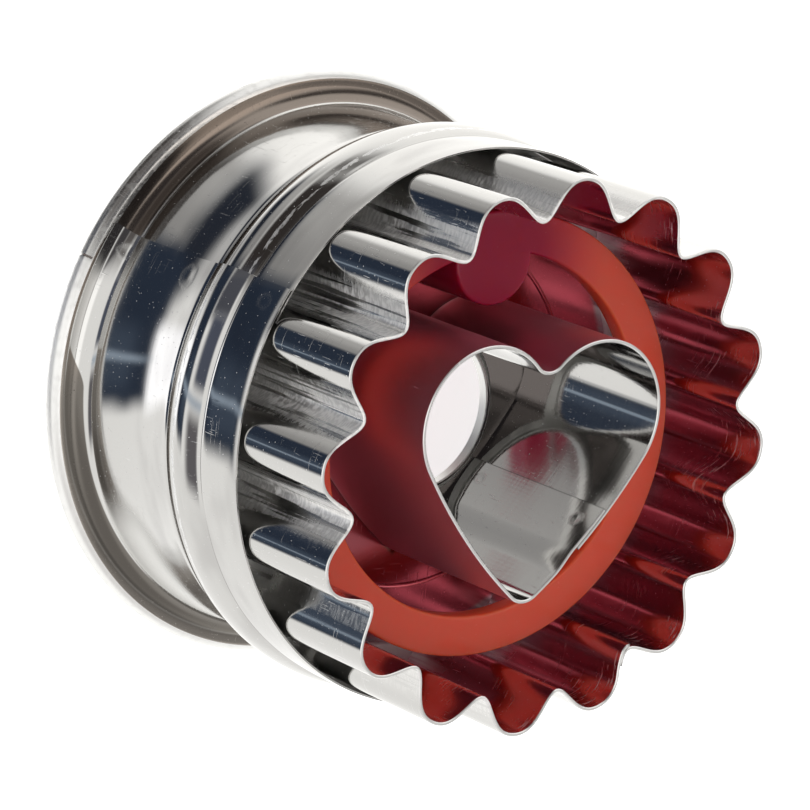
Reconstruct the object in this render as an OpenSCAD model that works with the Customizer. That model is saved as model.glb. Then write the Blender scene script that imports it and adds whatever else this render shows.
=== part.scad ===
// Small two-in-one cookie cutter: a fluted round cutting ring with a heart cutter inside it,
// a rolled sheet band as its handle, and a spring-returned ejector that pushes the dough out.
// It stands on the rim of its handle with the cutting edges up. The axis is Z.
// The heart's notch points along +Y. All sizes are in millimetres.

/* [Cutting ring] */
// Outer radius over the crests of the flutes
ring_r = 25; // [24:0.5:32]
// Number of flutes round the ring
flute_count = 16; // [12:1:20]
// Depth of a flute from crest to valley
flute_depth = 3.3; // [2:0.1:3.6]
// How much wider a crest is than a valley, as a share of the flute depth
flute_fullness = 0.08; // [0:0.01:0.12]
// Turn of the flutes against the heart, degrees
flute_turn = -1; // [-11:1:11]
// Thickness of the strip that both cutting walls are bent from
wall_t = 0.35; // [0.25:0.05:0.5]
// Height of both cutting walls above the bridge plate
wall_h = 18.6; // [17:0.2:24]

/* [Heart] */
// Outer radius of each lobe
lobe_r = 7.1; // [6:0.1:7.4]
// Distance of each lobe's centre from the heart's middle line
lobe_x = 6.2; // [5.8:0.1:6.6]
// Height of the lobe centres over the ring's middle
lobe_y = 3.5; // [2.6:0.1:4.2]
// Distance of the tip below the ring's middle
tip_y = 12.8; // [11.5:0.1:13.6]
// Radius of the rounded tip
tip_r = 2.2; // [1:0.1:2.4]
// Radius that each flank is bowed to between lobe and tip
flank_r = 52; // [40:1:90]
// Radius of the rounded notch between the lobes
notch_r = 1.6; // [1.2:0.1:3]
// Sideways place of the heart in the ring
heart_x = -1.3; // [-1.5:0.05:1.5]

/* [Handle band] */
// Thickness of the band's sheet
band_t = 0.4; // [0.3:0.05:0.6]
// Height of the band from the surface that it stands on
band_h = 26.6; // [26:0.1:30]
// Outward reach of the rolled rim beyond the band's narrow foot
rim_reach = 3.1; // [2.6:0.1:4]
// Radius of the rim's half-round outer edge, at the middle of the sheet
rim_edge_r = 0.8; // [0.6:0.1:1]
// Width of the flat hem that turns in under the rim
rim_hem = 1.1; // [0.8:0.1:1.3]
// Radius of the hollow between the rim and the waist
groove_r = 2; // [1:0.1:2]
// How far the waist's foot lies inside the front of the band
waist_in = 0.85; // [0.4:0.05:1.2]
// How far the bead's foot lies inside the front of the band
bead_foot_in = 0.17; // [0.1:0.01:0.3]
// How deep the waist curves in
waist_sag = 0.45; // [0:0.05:0.8]
// Height where the waist ends and the raised bead begins
bead_z = 16; // [15:0.1:16.5]
// Height of the bead
bead_h = 5.4; // [5:0.1:6.4]
// How far the bead stands out
bead_out = 0.65; // [0.5:0.05:0.9]

/* [Bridge plate] */
// Height of the plate's underside over the foot of the bead that holds it
plate_rise = 3; // [2.6:0.1:3.4]
// Thickness of the plate
plate_t = 0.4; // [0.3:0.05:0.8]
// Height of the plate's turned-down edge
skirt_h = 2; // [1:0.1:2.2]
// Height of the drawn collar round the hole in the middle of the plate
collar_h = 0.7; // [0.4:0.1:1.4]
// Thickness of that collar
collar_t = 0.2; // [0.15:0.05:0.3]

/* [Ejector] */
// Thickness of the ejector's flat ring
pusher_t = 2; // [1.5:0.1:3]
// Height of the ejector's face over the bridge plate at rest
pusher_rise = 9.6; // [8:0.1:11]
// Radius of the round boss
boss_r = 4; // [3.4:0.1:4.4]
// Distance of the boss in from the ring's outer edge
boss_inset = 0.45; // [0.2:0.05:1.5]
// Turn of the boss from the heart's notch, degrees
boss_turn = 3.7; // [-8:0.1:8]
// Lean of the ejector's ring on its single boss, degrees
pusher_lean = 3.3; // [0:0.1:3.6]
// Direction of the side that leans back, degrees
lean_turn = 156; // [90:1:270]
// Radius of the stem that runs through the bridge plate
stem_r = 2.5; // [2:0.1:3]
// How far the ejector slides out when its button is pushed
travel = 9.5; // [8.5:0.1:10]

/* [Push button] */
// Thickness of the button
button_t = 3; // [2.4:0.1:3.4]
// Width of the button's rim outside the spring
button_rim = 0.5; // [0.4:0.1:3]
// Depth of the socket that takes the stem
socket_h = 2; // [1.5:0.1:2]

/* [Return spring] */
// Diameter of the spring wire
wire_d = 0.45; // [0.4:0.05:0.7]
// Number of turns
spring_turns = 5; // [4:1:6]
// Height that the squeezed spring takes when the button is fully pushed
squeezed_h = 5.2; // [4.6:0.1:5.6]

/* [Clearances] */
// Gap between the ring's crests and the band, which are spot welded
weld_gap = 0.05; // [0.02:0.01:0.1]
// Gap between the heart's notch and the collar of the plate's hole
hole_gap = 0.31; // [0.1:0.01:0.6]
// Gap between the ejector and the valleys of the ring
ring_gap = 1.2; // [0.8:0.1:1.4]
// Gap between the ejector and the widest reach of the heart
heart_gap = 1.1; // [0.8:0.1:1.4]
// Gap between the boss and the plate that stops it
seat_gap = 0.1; // [0.05:0.05:0.3]
// Radial gap of the stem in its guide hole
stem_gap = 0.08; // [0.03:0.01:0.1]
// Radial gap of the stem in the button's socket
socket_gap = 0.02; // [0.01:0.01:0.05]
// Gap between the spring and the stem
spring_gap = 0.2; // [0.15:0.05:0.6]
// Gap at each end of the spring
end_gap = 0.05; // [0.02:0.01:0.1]

/* [Hidden] */
$fn = 96;
// Points along one flute, along a round of the heart and along a curve of the band
flute_steps = 12;
round_steps = 16;
bend_steps = 8;
// Small bevel on the edges of the moulded pieces
edge_bevel = 0.3;
// Rings per turn of the spring, sides of its wire and the least gap that it keeps to itself
rings_per_turn = 8;
wire_sides = 6;
least_coil_gap = 0.4;
// How far a cut runs past the solid that it is made in
cut_over = 1;

// Heights
plate_z = bead_z + plate_rise;
plate_top = plate_z + plate_t;
edge_z = plate_top + wall_h;
pusher_face_z = plate_top + pusher_rise;
button_top = plate_z - squeezed_h - travel;
button_z = button_top - button_t;

// Radii of the band at the middle of its sheet
front_mid_r = ring_r + weld_gap + band_t / 2;
foot_mid_r = front_mid_r - waist_in;
rim_mid_r = foot_mid_r + rim_reach - rim_edge_r;
rim_top_z = band_t / 2 + 2 * rim_edge_r;
bead_top_z = bead_z + bead_h;
bead_foot_r = front_mid_r - bead_foot_in;
function bead_mid_r(z) =
    let (u = (z - bead_z) / bead_h)
        bead_foot_r + (front_mid_r - bead_foot_r) * u + bead_out * 4 * u * (1 - u);
plate_r = min(bead_mid_r(plate_top), bead_mid_r(plate_top - skirt_h)) - band_t / 2 - weld_gap;

// Radii of the ejector
lobe_reach = norm([abs(heart_x) + lobe_x, lobe_y]) + lobe_r;
tip_reach = norm([heart_x, tip_y - tip_r]) + tip_r;
heart_reach = max(lobe_reach, tip_reach);
pusher_out_r = ring_r - flute_depth - wall_t - ring_gap;
pusher_in_r = heart_reach + heart_gap;
boss_place_r = pusher_out_r - boss_r - boss_inset;

function unit(v) = v / norm(v);

// Points on an arc round c from angle a to angle b
function arc(c, r, a, b, n) = [
    for (i = [0:n])
        let (t = a + (b - a) * i / n)
            c + r * [cos(t), sin(t)]
];

// Points on a shallow bow after p and up to q that bulges by sag to the right of its way
function bow(p, q, sag, n) = [
    for (i = [1:n])
        let (u = i / n, way = unit(q - p))
            p + (q - p) * u + [way[1], -way[0]] * sag * 4 * u * (1 - u)
];

// Unit normal to the left of a path at point i, an end taking that of its only stretch
function path_normal(p, i) =
    let (way = unit(p[min(i + 1, len(p) - 1)] - p[max(i - 1, 0)]))
        [-way[1], way[0]];

// Closed outline of a bent sheet of thickness t along the open path p
function sheet_outline(p, t) = concat(
    [for (i = [0:len(p) - 1]) p[i] + path_normal(p, i) * t / 2],
    [for (i = [len(p) - 1:-1:0]) p[i] - path_normal(p, i) * t / 2]
);

// The band's section from its rolled rim up to its front edge, at the middle of the sheet
band_path = concat(
    [for (inset = [rim_hem, band_t]) [rim_mid_r - inset, band_t / 2]],
    arc([rim_mid_r, band_t / 2 + rim_edge_r], rim_edge_r, -90, 90, bend_steps),
    arc([foot_mid_r + groove_r, rim_top_z + groove_r], groove_r, 270, 180, bend_steps),
    bow([foot_mid_r, rim_top_z + groove_r], [bead_foot_r, bead_z], -waist_sag, bend_steps),
    bow([bead_foot_r, bead_z], [front_mid_r, bead_top_z], bead_out, bend_steps),
    [[front_mid_r, band_h]]
);

// Radius of the fluted wall's middle line at angle a, and the wall's point at a set off by d
function flute_wave(a) =
    let (
        w = flute_count * (a - flute_turn),
        fall = (1 - cos(w)) / 2,
        fill = flute_fullness * (1 - cos(2 * w))
    )
        ring_r - wall_t / 2 - flute_depth * (fall - fill);
function flute_point(a) = flute_wave(a) * [cos(a), sin(a)];
function flute_set_off(a, d) =
    let (h = 90 / flute_count / flute_steps, way = unit(flute_point(a + h) - flute_point(a - h)))
        flute_point(a) + [way[1], -way[0]] * d;
function flute_outline(d) = [
    for (i = [0:flute_count * flute_steps - 1])
        flute_set_off(flute_turn + 360 * i / (flute_count * flute_steps), d)
];

// Half of the heart's outline set off by d, from the notch round the right lobe to the tip
lobe_c = [lobe_x, lobe_y];
notch_c = [0, lobe_y + sqrt(pow(lobe_r + notch_r, 2) - pow(lobe_x, 2))];
tip_c = [0, tip_r - tip_y];
notch_a = atan2(notch_c[1] - lobe_y, -lobe_x);

// Centre of the flank's bow, which touches the lobe and the tip, and the angles where it does
flank_span = norm(lobe_c - tip_c);
flank_foot = (pow(flank_r - tip_r, 2) - pow(flank_r - lobe_r, 2) + pow(flank_span, 2)) / 2 / flank_span;
flank_off = sqrt(pow(flank_r - tip_r, 2) - pow(flank_foot, 2));
flank_way = (lobe_c - tip_c) / flank_span;
flank_c = tip_c + flank_foot * flank_way + flank_off * [-flank_way[1], flank_way[0]];
flank_top_a = atan2(lobe_c[1] - flank_c[1], lobe_c[0] - flank_c[0]);
flank_low_a = atan2(tip_c[1] - flank_c[1], tip_c[0] - flank_c[0]);

// Radius of the hole in the bridge plate, which the heart's notch or its nearer flank limits
notch_inside = norm([heart_x, notch_c[1] - notch_r - wall_t]);
flank_inside = flank_r - norm([abs(heart_x), 0] - flank_c) - wall_t;
hole_r = min(notch_inside, flank_inside) - collar_t - hole_gap;

function half_heart(d) = concat(
    arc(notch_c, notch_r - d, -90, notch_a - 180, round_steps / 2),
    arc(lobe_c, lobe_r + d, notch_a, flank_top_a, round_steps * 2),
    arc(flank_c, flank_r + d, flank_top_a, flank_low_a, round_steps / 2),
    arc(tip_c, tip_r + d, flank_low_a, -90, round_steps / 2)
);
function heart_outline(d) =
    let (h = half_heart(d), n = len(h))
        concat(h, [for (i = [n - 2:-1:1]) [-h[i][0], h[i][1]]]);

// Axis of the boss, the stem, the spring and the button
boss_place = boss_place_r * [cos(90 + boss_turn), sin(90 + boss_turn)];
module at_boss(z) {
    translate([boss_place[0], boss_place[1], z])
        children();
}

// Route of the spring's wire: straight for one wire diameter at each end, with the turns between
coil_r = stem_r + spring_gap + wire_d / 2;
button_r = coil_r + wire_d / 2 + button_rim;
spring_foot_z = button_top + end_gap;
spring_head_z = plate_z - end_gap;
coil_h = spring_head_z - spring_foot_z - 2 * wire_d;
coil_pitch = coil_h / spring_turns;
coil_rings = spring_turns * rings_per_turn;
function coil_point(i) =
    let (a = 360 * i / rings_per_turn)
        [coil_r * cos(a), coil_r * sin(a), spring_foot_z + wire_d + coil_h * i / coil_rings];
spring_route = concat(
    [[coil_r, 0, spring_foot_z]],
    [for (i = [0:coil_rings]) coil_point(i)],
    [[coil_point(coil_rings)[0], coil_point(coil_rings)[1], spring_head_z]]
);

// Least distance between points that lie at least half a turn apart, less the wire
coil_gaps = [
    for (i = [0:coil_rings], j = [i + rings_per_turn / 2:1:coil_rings])
        norm(coil_point(i) - coil_point(j)) - wire_d
];
echo(least_gap_of_spring_to_itself = min(coil_gaps));
assert(min(coil_gaps) > least_coil_gap, "the spring's turns lie too close");

// Corners of the wire's section at point i, square to the wire there
function route_way(p, i) =
    i == 0 || i == len(p) - 1 ? [0, 0, 1] : unit(unit(p[i + 1] - p[i]) + unit(p[i] - p[i - 1]));
function wire_ring(p, i) =
    let (
        way = route_way(p, i),
        out = [p[i][0], p[i][1], 0],
        u = unit(out - way * (out * way)),
        v = cross(way, u)
    ) [
        for (k = [0:wire_sides - 1])
            let (a = 360 * k / wire_sides)
                p[i] + (u * cos(a) + v * sin(a)) * wire_d / 2
    ];

// Sheet band that the hand holds: rolled rim, hollow waist, raised bead and plain front edge
module handle_band() {
    color("silver")
        rotate_extrude()
            polygon(sheet_outline(band_path, band_t));
}

// Fluted cutting wall that stands on the bridge plate inside the band
module fluted_ring() {
    color("gainsboro")
        translate([0, 0, plate_top])
            linear_extrude(wall_h)
                difference() {
                    polygon(flute_outline(wall_t / 2));
                    polygon(flute_outline(-wall_t / 2));
                }
}

// Heart-shaped cutting wall in the middle
module heart_cutter() {
    color("gainsboro")
        translate([heart_x, 0, plate_top])
            linear_extrude(wall_h)
                difference() {
                    polygon(heart_outline(0));
                    polygon(heart_outline(-wall_t));
                }
}

// Plate that carries both cutting walls, with a collared hole and a guide hole for the stem
module bridge_plate() {
    color("silver")
        difference() {
            union() {
                translate([0, 0, plate_z])
                    cylinder(r = plate_r, h = plate_t);
                translate([0, 0, plate_top - skirt_h])
                    difference() {
                        cylinder(r = plate_r, h = skirt_h);
                        translate([0, 0, -cut_over])
                            cylinder(r = plate_r - plate_t, h = skirt_h + 2 * cut_over);
                    }
                translate([0, 0, plate_z])
                    cylinder(r = hole_r + collar_t, h = plate_t + collar_h);
            }
            translate([0, 0, plate_z - cut_over])
                cylinder(r = hole_r, h = plate_t + collar_h + 2 * cut_over);
            at_boss(plate_z - cut_over)
                cylinder(r = stem_r + stem_gap, h = plate_t + 2 * cut_over);
        }
}

// Tips what it is given round the middle of the ejector's face, as the ring leans
module leaned() {
    translate([0, 0, pusher_face_z])
        rotate([0, 0, lean_turn])
            rotate([0, pusher_lean, 0])
                children();
}

// Flat ring with its boss and stem, moulded in one piece
module ejector() {
    stem_foot_z = button_top - socket_h + socket_gap;
    color("firebrick")
        union() {
            leaned()
                translate([0, 0, -pusher_t])
                    rotate_extrude()
                        polygon([
                            [pusher_in_r, 0],
                            [pusher_out_r, 0],
                            [pusher_out_r, pusher_t - edge_bevel],
                            [pusher_out_r - edge_bevel, pusher_t],
                            [pusher_in_r + edge_bevel, pusher_t],
                            [pusher_in_r, pusher_t - edge_bevel]
                        ]);
            difference() {
                at_boss(plate_top + seat_gap)
                    cylinder(r = boss_r, h = pusher_rise + pusher_t);
                leaned()
                    cylinder(r = 2 * ring_r, h = ring_r);
            }
            at_boss(stem_foot_z)
                cylinder(r = stem_r, h = plate_top + pusher_rise / 2 - stem_foot_z);
        }
}

// Round button on the end of the stem
module push_button() {
    color("firebrick")
        at_boss(button_z)
            rotate_extrude()
                polygon([
                    [0, 0],
                    [button_r - edge_bevel, 0],
                    [button_r, edge_bevel],
                    [button_r, button_t - edge_bevel],
                    [button_r - edge_bevel, button_t],
                    [stem_r + socket_gap, button_t],
                    [stem_r + socket_gap, button_t - socket_h],
                    [0, button_t - socket_h]
                ]);
}

// Coil spring round the stem, between the button and the bridge plate
module return_spring() {
    rings = len(spring_route);
    corners = [for (i = [0:rings - 1]) each wire_ring(spring_route, i)];
    sides = [
        for (i = [0:rings - 2], k = [0:wire_sides - 1])
            let (a = i * wire_sides + k, b = i * wire_sides + (k + 1) % wire_sides)
                each [[a, a + wire_sides, b], [b, a + wire_sides, b + wire_sides]]
    ];
    foot = [for (k = [1:wire_sides - 2]) [0, k, k + 1]];
    head = [for (k = [1:wire_sides - 2]) (rings - 1) * wire_sides * [1, 1, 1] + [0, k + 1, k]];
    color("lightgray")
        at_boss(0)
            polyhedron(corners, concat(sides, foot, head));
}

handle_band();
fluted_ring();
heart_cutter();
bridge_plate();
ejector();
push_button();
return_spring();
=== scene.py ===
"""Looks of a small cookie cutter: a rolled tinplate band, a fluted ring with a heart inside, and a red ejector."""

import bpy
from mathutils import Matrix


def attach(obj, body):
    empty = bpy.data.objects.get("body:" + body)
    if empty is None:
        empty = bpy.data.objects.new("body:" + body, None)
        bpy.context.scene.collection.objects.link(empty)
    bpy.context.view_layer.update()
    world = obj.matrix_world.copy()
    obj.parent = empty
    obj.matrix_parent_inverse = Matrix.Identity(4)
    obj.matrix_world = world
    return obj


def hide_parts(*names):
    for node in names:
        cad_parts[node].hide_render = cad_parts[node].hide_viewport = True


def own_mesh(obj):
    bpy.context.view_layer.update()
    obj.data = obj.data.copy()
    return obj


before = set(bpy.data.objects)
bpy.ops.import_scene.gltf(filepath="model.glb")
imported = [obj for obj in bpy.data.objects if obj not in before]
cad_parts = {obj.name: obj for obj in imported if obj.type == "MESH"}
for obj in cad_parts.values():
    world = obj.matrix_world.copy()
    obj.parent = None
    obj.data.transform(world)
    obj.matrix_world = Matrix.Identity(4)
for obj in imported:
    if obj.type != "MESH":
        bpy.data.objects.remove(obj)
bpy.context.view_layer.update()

import logging
import math
from dataclasses import dataclass
from enum import Enum
from typing import Sequence

import bpy
import numpy as np
from mathutils import Matrix, Vector, noise

LOG = logging.getLogger("cutter")
MM = 0.001
HALF_TURN = 180.0
DEGREES = HALF_TURN / math.pi
Colour = tuple[float, float, float]  # red, green and blue
Point = tuple[float, float, float]  # x, y and z
Spot = tuple[float, float]  # x and y on plan
Span = tuple[float, float]  # where a mask starts to rise and where it is full
Pair = tuple[float, float]  # two sizes of one form
Material = bpy.types.Material
Piece = bpy.types.Object


# ---------------------------------------------------------------- shader expressions


class Graph:
    """A node tree that is written as expressions."""

    def __init__(self, tree: bpy.types.NodeTree) -> None:
        """Empty the tree and keep it.

        Args:
            tree: The tree of a material or of the world.
        """
        self.tree = tree
        tree.nodes.clear()

    def node(self, kind: str, settings: dict | None = None, sockets: dict | None = None) -> bpy.types.Node:
        """Add one node.

        Args:
            kind: The node's type name.
            settings: Attributes that are set first.
            sockets: Values or links by the name or number of the input.

        Returns:
            The new node.
        """
        made = self.tree.nodes.new(kind)
        for key, value in (settings or {}).items():
            setattr(made, key, value)
        for key, value in (sockets or {}).items():
            if isinstance(value, Wire):
                self.tree.links.new(value.socket, made.inputs[key])
            else:
                made.inputs[key].default_value = value
        return made

    def wire(self, kind: str, settings: dict | None = None, sockets: dict | None = None, out: int | str = 0) -> "Wire":
        """Add one node and return one of its outputs, wrapped."""
        return Wire(self, self.node(kind, settings, sockets).outputs[out])

    def mix(self, share: "Wire | float", first: "Wire | Colour", second: "Wire | Colour") -> "Wire":
        """Blend two colours.

        Args:
            share: Share of the second colour.
            first: Colour at share 0.
            second: Colour at share 1.

        Returns:
            The blended colour.
        """
        ends = [v if isinstance(v, Wire) else (*v, 1.0) for v in (first, second)]
        return self.wire("ShaderNodeMix", {"data_type": "RGBA"}, {0: share, 6: ends[0], 7: ends[1]}, 2)

    def step(self, value: "Wire", low: float, high: float) -> "Wire":
        """Rise smoothly from 0 to 1 as value goes from low to high."""
        ends = {"Value": value, "From Min": low, "From Max": high, "To Min": 0.0, "To Max": 1.0}
        return self.wire("ShaderNodeMapRange", {"interpolation_type": "SMOOTHSTEP"}, ends)

    def between(self, value: "Wire", rising: Span, falling: Span) -> "Wire":
        """1 between a span over which the mask rises and one over which it falls."""
        return self.step(value, *rising) * self.step(value, *falling)

    def vector(self, operation: str, first: "Wire", second: Sequence[float], out: int | str = 0) -> "Wire":
        """Add a Vector Math node over a place and a fixed vector."""
        return self.wire("ShaderNodeVectorMath", {"operation": operation}, {0: first, 1: tuple(second)}, out)

    def here(self) -> "Wire":
        """Object coordinates."""
        return self.wire("ShaderNodeTexCoord", None, None, "Object")

    def apart(self, place: "Wire") -> "Wire":
        """The first coordinate of a place, whose twins 1 and 2 are the others."""
        return self.wire("ShaderNodeSeparateXYZ", None, {0: place})

    def written(self, name: str) -> "Wire":
        """A value that the mesh carries at each corner."""
        return self.wire("ShaderNodeAttribute", {"attribute_name": name}, None, "Fac")

    def cover(self, sockets: dict, settings: dict | None = None) -> None:
        """End a material with a Principled shader that has these sockets and settings."""
        self.node("ShaderNodeOutputMaterial", None, {0: self.wire("ShaderNodeBsdfPrincipled", settings, sockets)})


class Wire:
    """A number socket that Python's operators turn into Math nodes."""

    def __init__(self, graph: Graph, socket: bpy.types.NodeSocket) -> None:
        """Keep the socket and the graph that it belongs to."""
        self.graph = graph
        self.socket = socket

    def _math(self, operation: str, *terms: "Wire | float") -> "Wire":
        """Add a Math node over the terms."""
        return self.graph.wire("ShaderNodeMath", {"operation": operation}, dict(enumerate(terms)))

    def __add__(self, other: "Wire | float") -> "Wire":
        """self + other."""
        return self._math("ADD", self, other)

    __radd__ = __add__

    def __sub__(self, other: "Wire | float") -> "Wire":
        """self - other."""
        return self._math("SUBTRACT", self, other)

    def __rsub__(self, other: float) -> "Wire":
        """other - self."""
        return self._math("SUBTRACT", other, self)

    def __mul__(self, other: "Wire | float") -> "Wire":
        """self * other."""
        return self._math("MULTIPLY", self, other)

    __rmul__ = __mul__

    def __pow__(self, other: "Wire | float") -> "Wire":
        """self to the power of other."""
        return self._math("POWER", self, other)

    def __rpow__(self, other: float) -> "Wire":
        """other to the power of self."""
        return self._math("POWER", other, self)

    def __abs__(self) -> "Wire":
        """Size of self."""
        return self._math("ABSOLUTE", self)

    def larger(self, other: "Wire | float") -> "Wire":
        """The larger of the two."""
        return self._math("MAXIMUM", self, other)

    def rise(self) -> "Wire":
        """Rise of a direction whose upward part is self, in degrees."""
        return self._math("ARCSINE", self) * DEGREES

    def twin(self, out: int) -> "Wire":
        """Another output of the same node."""
        return Wire(self.graph, self.socket.node.outputs[out])

    def bearing(self) -> "Wire":
        """Bearing round the upright axis, where self and twin 1 are x and y, from 0 to 360 degrees."""
        return self._math("ARCTAN2", self.twin(1) * -1.0, self * -1.0) * DEGREES + HALF_TURN

    def away(self, x: float = 0.0, y: float = 0.0) -> "Wire":
        """Distance on plan from a point, where self and twin 1 are x and y."""
        return ((self - x) ** 2.0 + (self.twin(1) - y) ** 2.0) ** 0.5


# ---------------------------------------------------------------- finishes


class Slot(Enum):
    """Material slots of the record."""

    BAND = "band"
    STRIP = "cutting_strip"
    PLATE = "plate"
    PLASTIC = "plastic"
    SPRING = "spring"


def new_material(name: str) -> tuple[Material, Graph]:
    """Make an empty material.

    Args:
        name: The material's name.

    Returns:
        The material and its graph.
    """
    material = bpy.data.materials.new(name)
    material.use_nodes = True
    return material, Graph(material.node_tree)


@dataclass
class Surface:
    """What a finish says about one point of a surface."""

    graph: Graph
    place: Wire
    colour: Wire
    rough: Wire
    height: Wire

    def lay(self, share: Wire, colour: Wire | Colour, rough: Wire | None = None, height: Wire | None = None) -> None:
        """Blend in a colour, and add to the roughness and the height.

        Args:
            share: Share of the colour.
            colour: The colour.
            rough: What is added to the roughness, if anything.
            height: What is added to the height, if anything.
        """
        self.colour = self.graph.mix(share, self.colour, colour)
        if rough is not None:
            self.rough = self.rough + rough
        if height is not None:
            self.height = self.height + height


@dataclass(frozen=True)
class Grain:
    """Noise over a stretched place, and the span of its values over which flecks appear."""

    scale: Point
    detail: float
    shown: Span = (0.0, 1.0)

    def noise(self, g: Graph, place: Wire) -> Wire:
        """The noise itself, from 0 to 1."""
        spot = g.vector("MULTIPLY", place, self.scale)
        return g.wire("ShaderNodeTexNoise", None, {"Vector": spot, "Scale": 1.0, "Detail": self.detail})

    def flecks(self, g: Graph, place: Wire) -> Wire:
        """1 in the flecks and 0 between them."""
        return g.step(self.noise(g, place), *self.shown)


@dataclass(frozen=True)
class Weld:
    """A spot weld's small crater, in millimetres from the object's foot."""

    place: Point
    radius: float
    ragged: Grain = Grain((900.0, 900.0, 900.0), 3.0)

    def press(self, at: Wire, look: Surface) -> None:
        """Press the crater into a surface.

        Args:
            at: Object coordinates.
            look: The surface so far, which is changed.
        """
        g = look.graph
        away = g.vector("DISTANCE", at, [c * MM for c in self.place], "Value") * (0.6 + 0.8 * self.ragged.noise(g, at))
        r = self.radius * MM
        bowl = g.step(away, 1.1 * r, 0.1 * r)
        lip = g.step(away, 1.5 * r, r) * (1.0 - bowl)
        look.height = look.height - 1.8 * bowl + 0.5 * lip
        look.rough = look.rough + 0.10 * lip


@dataclass(frozen=True)
class Tinplate:
    """Bright rolled tinplate with fine scratches along the strip, pits and spot welds."""

    name: str
    tint: Colour = (0.50, 0.495, 0.485)
    bare: Colour = (0.88, 0.88, 0.88)
    roughness: float = 0.06
    scratch: float = 0.5
    wave: float = 0.15
    welds: tuple[Weld, ...] = ()
    bump_strength: float = 0.22
    bump_height: float = 0.00003
    rolled: Grain = Grain((60.0, 2200.0, 60.0), 3.0)
    hairs: Grain = Grain((260.0, 9000.0, 260.0), 1.0, (0.70, 0.76))
    crossed: Grain = Grain((7000.0, 420.0, 420.0), 1.0, (0.68, 0.76))
    clouds: Grain = Grain((90.0, 110.0, 90.0), 4.0)
    scratched: Span = (0.48, 0.60)
    pitted: Grain = Grain((5200.0, 5200.0, 5200.0), 0.0, (0.80, 0.84))

    def place(self, g: Graph) -> Wire:
        """Coordinates that the scratches follow: along and across the strip, in metres."""
        return g.wire("ShaderNodeUVMap", {"uv_map": "strip"})

    def mark(self, look: Surface) -> None:
        """Add what only this finish has."""

    def build(self) -> Material:
        """Make the material.

        Returns:
            The material, which reads the coordinates that place() gives.
        """
        material, g = new_material(self.name)
        place = self.place(g)
        rolled = self.rolled.noise(g, place)
        clouds = self.clouds.noise(g, place)
        pits = self.pitted.flecks(g, place)
        worn = (self.hairs.flecks(g, place) * 0.7).larger(self.crossed.flecks(g, place))
        worn = worn * g.step(clouds, *self.scratched)
        look = Surface(
            g,
            place,
            g.mix((0.75 * pits).larger(0.5 * self.scratch * worn), self.tint, self.bare),
            self.roughness + self.scratch * (0.04 * rolled + 0.30 * worn) + 0.45 * pits,
            self.scratch * (0.35 * rolled + 0.8 * worn) + self.wave * clouds - 0.8 * pits,
        )
        self.mark(look)
        if self.welds:
            at = g.here()
            for weld in self.welds:
                weld.press(at, look)
        relief = {"Strength": self.bump_strength, "Distance": self.bump_height, "Height": look.height}
        bump = g.wire("ShaderNodeBump", None, relief)
        g.cover({"Base Color": look.colour, "Metallic": 1.0, "Roughness": look.rough, "Normal": bump})
        return material


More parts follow.
